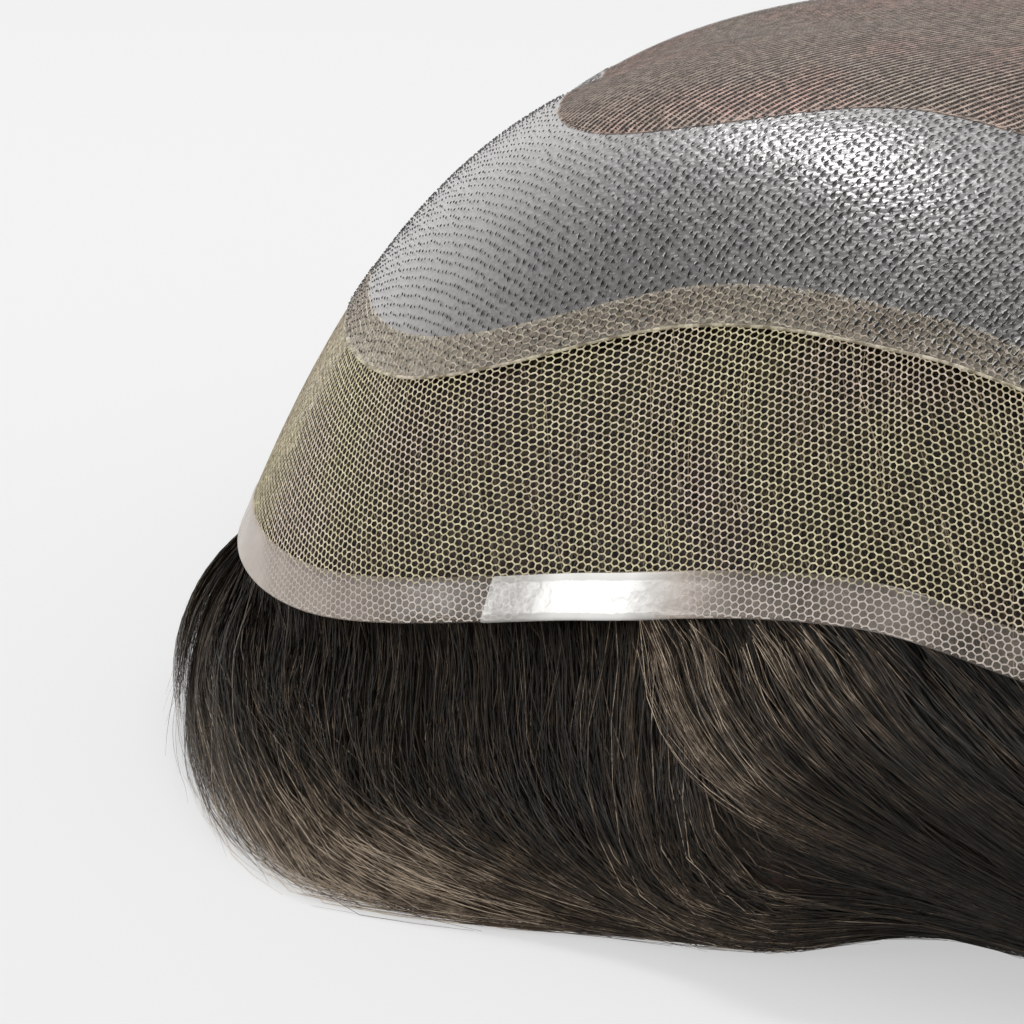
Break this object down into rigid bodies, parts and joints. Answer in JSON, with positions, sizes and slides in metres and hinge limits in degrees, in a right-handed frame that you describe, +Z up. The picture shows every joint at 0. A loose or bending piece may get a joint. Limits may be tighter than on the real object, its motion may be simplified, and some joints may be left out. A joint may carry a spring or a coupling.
{
  "type": "toupee hairpiece",
  "caption": "Hairpiece set down inside out: a domed base of net and clear skin panels, with short dark hair falling below its edge.",
  "frame": {"origin": "middle of the whole piece in plan, on the surface that the hair rests on", "axes": "+Z up, front hairline towards -Y, the wearer's left and right along X"},
  "size_m": [0.1636, 0.2074, 0.0595],
  "materials": {
    "clear_strip": "thin clear glossy strip over net",
    "lace_net": "beige honeycomb net with dark hair behind it",
    "seam_net": "net bonded over clear skin",
    "clear_skin": "clear glossy film with rows of dark knots",
    "mono_mesh": "fine matt weave, warm brown",
    "dark_hair": "very dark brown hair, soft sheen"
  },
  "bodies": {
    "root": {"edge_strip": "clear_strip", "lace_band": "lace_net", "seam_band": "seam_net", "skin_panel": "clear_skin", "mono_top": "mono_mesh", "hair": "dark_hair"}
  },
  "joints": []
}
